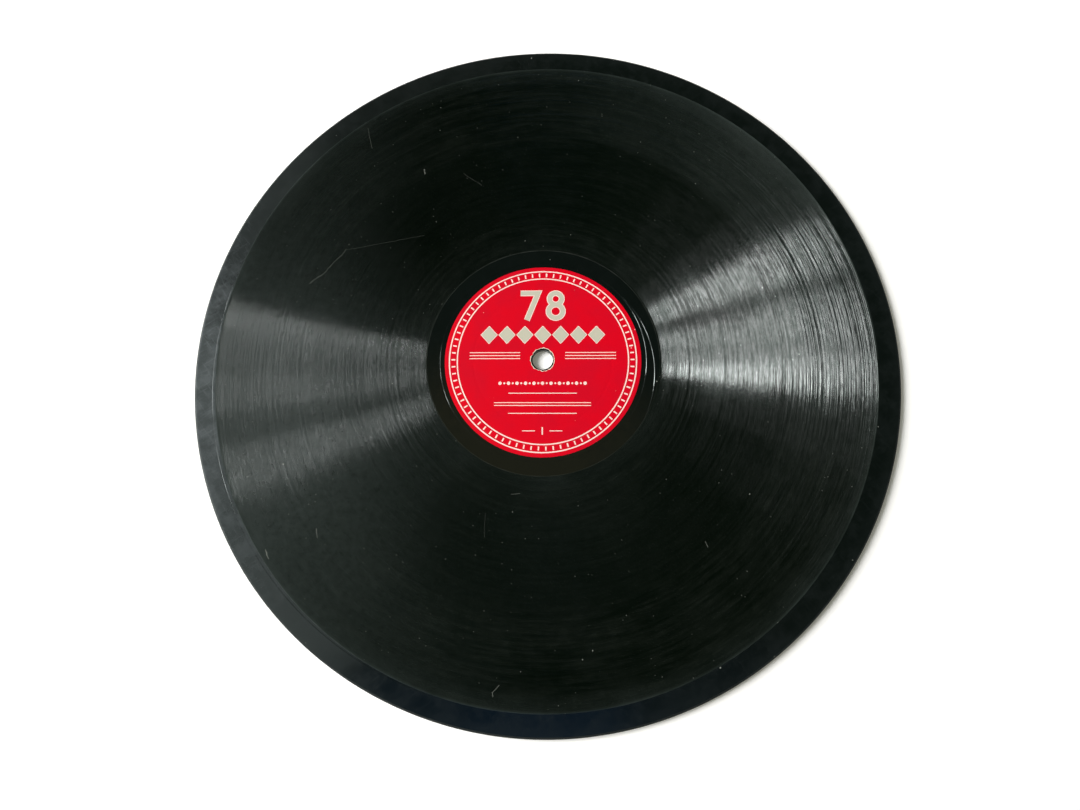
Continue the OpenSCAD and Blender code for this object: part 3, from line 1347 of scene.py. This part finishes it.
@dataclass
class LabelPrint:
    """A label's generic print: rings, speed bars, lozenges, plain numerals, beads and rules."""

    side: Side
    face: float
    disc_thickness: float
    ink_height: float = 0.008 * MM
    outline_height: float = 0.004 * MM
    crossing_lift: float = 0.002 * MM
    ring_radii: Span = (30.4 * MM, 33.2 * MM)
    ring_width: float = 0.45 * MM
    ring_points: int = 360
    bar_count: int = 78
    bar_radii: Span = (31.1 * MM, 32.5 * MM)
    bar_width: float = 0.5 * MM
    lozenge_count: int = 7
    lozenge_row: Span = (44.0 * MM, 9.2 * MM)
    lozenge_size: Span = (5.6 * MM, 6.0 * MM)
    lozenge_along: Triple = (-0.5, 0.0, 0.5)
    lozenge_across: Triple = (0.02, 0.5, 0.02)
    numeral_height: float = 11.0 * MM
    numeral_place: Span = (0.0, 20.2 * MM)
    seven_places: Triple = (-0.82, -0.18, -0.58)
    seven_width: float = 0.9
    eight_place: float = 0.42
    eight_upper: float = 0.46
    eight_points: int = 64
    stroke: float = 1.6 * MM
    outline: float = 0.28 * MM
    rule_width: float = 0.28 * MM
    # Start, end and level of each rule, in millimetres
    rule_lines: tuple[Triple, ...] = (
        *((-26.0, -8.0, level) for level in (2.6, 1.5, 0.4)),
        *((8.0, 26.0, level) for level in (2.6, 1.5, 0.4)),
        (-12.0, 12.0, -12.2),
        (-17.0, 17.0, -15.6),
        (-17.0, 17.0, -16.6),
        (-12.0, 12.0, -19.4),
    )
    bead_row: float = 15.0 * MM
    bead_level: float = -8.6 * MM
    bead_count: int = 21
    bead_radii: Span = (0.62 * MM, 0.36 * MM)
    bead_points: int = 9
    bead_tip: float = 0.01
    number_level: float = -25.6 * MM
    number_spacing: float = 1.2 * MM
    number_height: float = 2.6 * MM
    number_width: float = 0.44 * MM
    dash_ends: Span = (2.5 * MM, 7.0 * MM)
    slot: str = "label_paper"
    sharp_angle: float = math.radians(30.0)
    cream: LabelInk = LabelInk()
    silver: LabelInk = LabelInk(
        "silver_label_ink", (0.52, 0.50, 0.38, 1.0), (0.62, 0.47, 0.38, 1.0), (0.3, 0.5)
    )

    def strip(
        self, ink: Ink, paths: Array, widths: Array | float, closed: bool = False, lift: float = 0.0
    ) -> Surface:
        """Prints ribbons in one ink, which stands on the paper, the silver over the cream.

        Args:
            ink: The ink.
            paths: Points of each ribbon, as paths by points by (x, y).
            widths: Widths, one for all or as paths by points.
            closed: True for closed loops.
            lift: How much higher they stand than the ink's other ribbons, where they cross them.

        Returns:
            The ribbons.
        """
        half_widths = np.broadcast_to(np.asarray(widths) / 2.0, paths.shape[:2])
        top = self.face + self.outline_height + (self.ink_height if ink is Ink.SILVER else 0.0)
        return ribbons(paths, half_widths, self.face - self.outline_height, top + lift, closed)

    def circles(self, centre: Span, radii: Span | tuple[float], points: int) -> Array:
        """Gives closed round paths.

        Args:
            centre: Middle of all the circles.
            radii: Radius of each circle.
            points: Points in each path.

        Returns:
            The paths, each point at the centre plus the radius times (cosine, sine) of its angle.
        """
        angle = np.arange(points) * (FULL_TURN / points)
        turned = np.stack([np.cos(angle), np.sin(angle)], axis=-1)
        return np.array(centre) + np.array(radii)[:, None, None] * turned

    def border(self) -> list[Surface]:
        """Prints the two rings and, between them, one radial bar for each turn in a minute.

        Returns:
            The rings and the bars.
        """
        rings = self.circles((0.0, 0.0), self.ring_radii, self.ring_points)
        bars = self.circles((0.0, 0.0), self.bar_radii, self.bar_count).swapaxes(0, 1)
        return [
            self.strip(Ink.CREAM, rings, self.ring_width, True),
            self.strip(Ink.CREAM, bars, self.bar_width),
        ]

    def lozenges(self, ink: Ink, grow: float) -> Surface:
        """Prints the row of lozenges, each a ribbon that widens to the middle and narrows again.

        Args:
            ink: The ink.
            grow: How much larger than its own size each lozenge is on all sides.

        Returns:
            The lozenges.
        """
        width, height = self.lozenge_size
        row, level = self.lozenge_row
        x = np.linspace(-(row - width) / 2.0, (row - width) / 2.0, self.lozenge_count)
        y = level + np.array(self.lozenge_along) * (height + 2.0 * grow)
        paths = np.stack(np.broadcast_arrays(x[:, None], y[None, :]), axis=-1)
        return self.strip(ink, paths, 2.0 * np.array(self.lozenge_across) * (width + 2.0 * grow))

    def numerals(self, ink: Ink, stroke: float) -> list[Surface]:
        """Prints the turns in a minute as plain numerals: a bent stroke, and one circle on another.

        Args:
            ink: The ink.
            stroke: Width of the strokes.

        Returns:
            The strokes.
        """
        x, y = self.numeral_place
        half = (self.numeral_height - self.stroke) / 2.0
        seven_x = x + np.array(self.seven_places) * self.numeral_height * self.seven_width
        seven_y = y + np.array([half, half, -self.numeral_height / 2.0])
        upper = self.eight_upper * half
        lower = half - upper
        eight_x = x + self.eight_place * self.numeral_height
        top_loop = self.circles((eight_x, y + half - upper), (upper,), self.eight_points)
        low_loop = self.circles((eight_x, y - half + lower), (lower,), self.eight_points)
        return [
            self.strip(ink, np.stack([seven_x, seven_y], axis=-1)[None], stroke),
            self.strip(ink, low_loop, stroke, True),
            self.strip(ink, top_loop, stroke, True, self.crossing_lift),
        ]

    def rules(self) -> list[Surface]:
        """Prints the level lines beside and below the hole, and a row of round beads of two sizes in turn.

        Returns:
            The lines and beads.
        """
        lines = np.array(self.rule_lines) * MM
        paths = np.stack([lines[:, :2], np.repeat(lines[:, 2:], 2, axis=1)], axis=-1)
        middle = np.linspace(-self.bead_row, self.bead_row, self.bead_count)[:, None]
        radius = np.where(np.arange(self.bead_count) % 2 == 0, *self.bead_radii)[:, None]
        along = np.linspace(-1.0, 1.0, self.bead_points)[None, :]
        x = middle + along * radius
        beads = np.stack([x, np.full_like(x, self.bead_level)], axis=-1)
        widths = 2.0 * radius * np.sqrt(np.maximum(1.0 - along**2, self.bead_tip))
        return [self.strip(Ink.CREAM, paths, self.rule_width), self.strip(Ink.CREAM, beads, widths)]

    def side_number(self) -> list[Surface]:
        """Prints one upright stroke for side one and two for side two, between short rules.

        Returns:
            The strokes and rules.
        """
        level = self.number_level
        apart = self.number_spacing / 2.0
        near, far = self.dash_ends
        places = [0.0] if self.side is Side.UPPER else [-apart, apart]
        ends = [level - self.number_height / 2.0, level + self.number_height / 2.0]
        strokes = np.array([[(x, y) for y in ends] for x in places])
        dashes = np.array([[(-far, level), (-near, level)], [(near, level), (far, level)]])
        return [
            self.strip(Ink.CREAM, strokes, self.number_width),
            self.strip(Ink.CREAM, dashes, self.rule_width),
        ]

    def build(self) -> None:
        """Builds and dresses the print in its two inks."""
        cream = [
            *self.border(),
            self.lozenges(Ink.CREAM, self.outline),
            *self.numerals(Ink.CREAM, self.stroke + 2.0 * self.outline),
            *self.rules(),
            *self.side_number(),
        ]
        silver = [self.lozenges(Ink.SILVER, 0.0), *self.numerals(Ink.SILVER, self.stroke)]
        side = self.side.value
        for ink, finish, shapes in ((Ink.CREAM, self.cream, cream), (Ink.SILVER, self.silver, silver)):
            name = f"label_print_{ink.value}_{side}"
            placed = joined(shapes).on_side(self.side, self.disc_thickness)
            finish.dress(new_piece(name, placed, f"label_side_{side}", self.sharp_angle))


@dataclass(frozen=True)
class FloorPaper(Finish):
    """Plain pale floor that shows white to the camera and keeps the object's shadow."""

    name: str = "pale_floor"
    colour: Colour = (0.93, 0.92, 0.91, 1.0)
    roughness: float = 0.9
    sheen: float = 0.1
    lift: float = 0.17
    lift_colour: Colour = (1.0, 0.96, 0.74, 1.0)
    lifted_rays: tuple[str, ...] = ("Is Camera Ray", "Is Glossy Ray", "Is Transmission Ray")

    def shade(self, sketch: NodeSketch) -> Inputs:
        """Adds a little own light for what the camera, a gloss or a glass sees.

        Args:
            sketch: The material's tree.

        Returns:
            What goes into the shader's inputs.
        """
        rays = sketch.add("ShaderNodeLightPath").outputs
        seen = 0.0
        for kind in self.lifted_rays:
            seen = sketch.most(seen, rays[kind])
        return {
            "Base Color": self.colour,
            "Roughness": self.roughness,
            "Specular IOR Level": self.sheen,
            "Emission Color": self.lift_colour,
            "Emission Strength": sketch.times(seen, self.lift),
        }


@dataclass(frozen=True)
class GlowCard(Finish):
    """A dim card that glows in its colour as much as its own layer says."""

    name: str = "pale_card"
    colour: Colour = (0.95, 1.0, 1.0, 1.0)
    unlit: Colour = (0.02, 0.02, 0.02, 1.0)
    glow_layer: str = "glow"

    def shade(self, sketch: NodeSketch) -> Inputs:
        """Takes the glow from the card's layer."""
        glow = sketch.layer(self.glow_layer)
        return {"Base Color": self.unlit, "Emission Color": self.colour, "Emission Strength": glow}


@dataclass(frozen=True)
class SoftPanel:
    """A soft studio light as the record sees it: degrees round and above it, and how bright it looks.

    Its upper end leans by some degrees towards smaller angles round the record, so that its upright edges
    show as straight lines from the middle of the record.
    """

    name: str
    azimuths: Span
    elevations: Span
    brightness: float
    distance: float = 2.5
    lean: float = 5.0

    def build(self) -> None:
        """Hangs the panel at its distance from the origin, facing it, as wide and high as its angles ask."""
        azimuth = math.radians(sum(self.azimuths) / 2.0)
        elevation = math.radians(sum(self.elevations) / 2.0)
        half_turn = math.radians(self.azimuths[1] - self.azimuths[0]) / 2.0
        half_rise = math.radians(self.elevations[1] - self.elevations[0]) / 2.0
        level = self.distance * math.cos(elevation)
        height = self.distance * math.sin(elevation)
        light = bpy.data.lights.new(self.name, "AREA")
        light.shape = "RECTANGLE"
        light.size = 2.0 * level * math.tan(half_turn)
        light.size_y = 2.0 * self.distance * math.tan(half_rise)
        light.energy = self.brightness * math.pi * light.size * light.size_y
        panel = bpy.data.objects.new(self.name, light)
        panel.location = (level * math.cos(azimuth), level * math.sin(azimuth), height)
        facing = Euler((math.pi / 2.0 - elevation, 0.0, azimuth + math.pi / 2.0)).to_matrix()
        panel.rotation_euler = (facing @ Matrix.Rotation(math.radians(self.lean), 3, "Z")).to_euler()
        bpy.context.scene.collection.objects.link(panel)


@dataclass
class Studio:
    """Floor, soft lights, faint surroundings and the camera at the photograph's place."""

    disc_thickness: float
    floor_size: float = 4.0
    focal_pixels: float = 658.0
    image_width_pixels: float = 1080.0
    sensor_width_mm: float = 36.0
    camera_clip: float = 10.0 * MM
    camera_offset: Triple = (5.8 * MM, -62.6 * MM, 226.6 * MM)
    camera_tilt: Span = (math.radians(11.57), math.radians(1.65))
    surroundings: Colour = (0.036, 0.043, 0.040, 1.0)
    rim_middle: float = 121.0 * MM
    card_lift: Span = (-9.0, 8.0)
    card_distance: float = 3.0
    # Each card's finish, then degrees round the rim and the glow that the rim mirrors there
    cards: tuple[tuple[GlowCard, tuple[Span, ...]], ...] = (
        (
            GlowCard(),
            (
                (92.0, 0.0), (100.0, 0.04), (130.0, 0.08), (140.0, 0.48), (160.0, 0.5), (170.0, 0.75),
                (180.0, 1.55), (200.0, 1.15), (210.0, 1.05), (232.0, 1.0), (237.0, 0.75), (240.0, 0.1),
            ),
        ),
        (
            GlowCard("blue_card", (0.0, 0.27, 1.0, 1.0)),
            (
                (240.0, 0.12), (256.0, 0.15), (262.0, 0.24), (280.0, 0.24), (286.0, 0.06), (304.0, 0.04),
                (310.0, 0.0),
            ),
        ),
    )
    panels: tuple[SoftPanel, ...] = (
        SoftPanel("shade_side", (130.0, 143.0), (24.0, 46.0), 0.25),
        SoftPanel("shade_near", (143.0, 154.5), (24.0, 46.0), 0.9),
        SoftPanel("window_left", (154.5, 160.0), (23.5, 50.0), 18.0),
        SoftPanel("window_left_glare", (154.5, 159.0), (22.0, 40.0), 38.0),
        SoftPanel("window_left_glow", (154.5, 161.0), (27.0, 45.0), 7.0),
        SoftPanel("window_middle", (160.0, 167.0), (16.0, 48.0), 17.5),
        SoftPanel("window_middle_edge", (167.0, 174.3), (15.0, 49.0), 21.5),
        SoftPanel("window_bar", (174.3, 179.5), (20.0, 50.0), 5.0),
        SoftPanel("window_right", (179.5, 189.5), (17.0, 51.0), 19.2),
        SoftPanel("window_right_glare", (179.8, 187.8), (36.0, 50.0), 10.0),
        SoftPanel("curtain_near", (189.5, 200.0), (25.0, 50.0), 1.2),
        SoftPanel("curtain_side", (200.0, 221.0), (30.0, 50.0), 0.2),
    )

    @property
    def camera_place(self) -> Triple:
        """Where the camera stands, measured from the middle of the disc's outline."""
        x, y, z = self.camera_offset
        return x, y, z + self.disc_thickness / 2.0

    def stage_piece(self, name: str, points: Array, faces: Array, finish: Finish) -> bpy.types.Object:
        """Makes a piece of the stage.

        Args:
            name: Name of the piece.
            points: Its points.
            faces: Numbers of the four points of each face.
            finish: Its finish.

        Returns:
            The new object.
        """
        mesh = bpy.data.meshes.new(name)
        mesh.from_pydata(points.tolist(), [], faces.tolist())
        piece = bpy.data.objects.new(name, mesh)
        bpy.context.scene.collection.objects.link(piece)
        finish.dress(piece)
        return piece

    def floor(self) -> None:
        """Lays a square floor under the record."""
        corners = np.array([(-0.5, -0.5, 0.0), (0.5, -0.5, 0.0), (0.5, 0.5, 0.0), (-0.5, 0.5, 0.0)])
        self.stage_piece("floor", corners * self.floor_size, np.array([(0, 1, 2, 3)]), FloorPaper())

    def card(self, finish: GlowCard, glow: tuple[Span, ...]) -> None:
        """Bends a dim card so that the rim mirrors it to the camera, which doesn't see the card itself.

        For each angle round the rim, the ray from the camera to the middle of the rim is mirrored upwards
        and followed for the card's distance, and the card stands a few degrees below and above that ray.

        Args:
            finish: The card's finish.
            glow: Angles round the rim in degrees, and the glow mirrored there.
        """
        turns, levels = np.array(glow).T
        degrees = np.arange(turns[0], turns[-1] + 1.0)
        angle = np.radians(degrees)
        level = np.stack([np.cos(angle), np.sin(angle)], axis=-1) * self.rim_middle
        spot = np.concatenate([level, np.full((len(angle), 1), self.disc_thickness)], axis=1)
        ray = spot - np.array(self.camera_place)
        azimuth = np.arctan2(ray[:, 1], ray[:, 0])[:, None]
        rise = np.arctan2(-ray[:, 2], np.hypot(ray[:, 0], ray[:, 1]))[:, None]
        lift = rise + np.radians(self.card_lift)
        way = [np.cos(lift) * np.cos(azimuth), np.cos(lift) * np.sin(azimuth), np.sin(lift)]
        points = spot[:, None, :] + self.card_distance * np.stack(way, axis=-1)
        index = np.arange(2 * len(angle)).reshape(-1, 2)
        faces = np.stack([index[:-1, 0], index[1:, 0], index[1:, 1], index[:-1, 1]], axis=-1)
        card = self.stage_piece(finish.name, points.reshape(-1, 3), faces, finish)
        set_layer(card, finish.glow_layer, np.repeat(np.interp(degrees, turns, levels), 2))
        card.visible_camera = False

    def camera(self) -> None:
        """Sets up the camera that was fitted to the photograph's outlines of the disc and the label."""
        lens = bpy.data.cameras.new("camera")
        lens.sensor_fit = "HORIZONTAL"
        lens.sensor_width = self.sensor_width_mm
        lens.lens = self.focal_pixels / self.image_width_pixels * self.sensor_width_mm
        lens.clip_start = self.camera_clip
        camera = bpy.data.objects.new("camera", lens)
        camera.location = self.camera_place
        camera.rotation_mode = "YXZ"
        camera.rotation_euler = (*self.camera_tilt, 0.0)
        bpy.context.scene.collection.objects.link(camera)
        bpy.context.scene.camera = camera

    def build(self) -> None:
        """Sets the stage."""
        scene = bpy.context.scene
        scene.view_settings.view_transform = "Standard"
        world = bpy.data.worlds.new("surroundings")
        world.use_nodes = True
        world.node_tree.nodes["Background"].inputs["Color"].default_value = self.surroundings
        scene.world = world
        self.floor()
        for finish, glow in self.cards:
            self.card(finish, glow)
        for panel in self.panels:
            panel.build()
        self.camera()


def main() -> None:
    """Builds the disc, the labels with their print, and the studio."""
    logging.basicConfig(level=logging.INFO, format="%(message)s")
    low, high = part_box("shellac_disc")
    label_low, label_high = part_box("label_side_a")
    thickness = high[2] - low[2]
    PressedDisc(-low[0], thickness).build()
    for side in Side:
        PaperLabel(side, -label_low[0], label_high[2], thickness).build()
        LabelPrint(side, label_high[2], thickness).build()
    Studio(thickness).build()


if __name__ == "__main__":
    main()
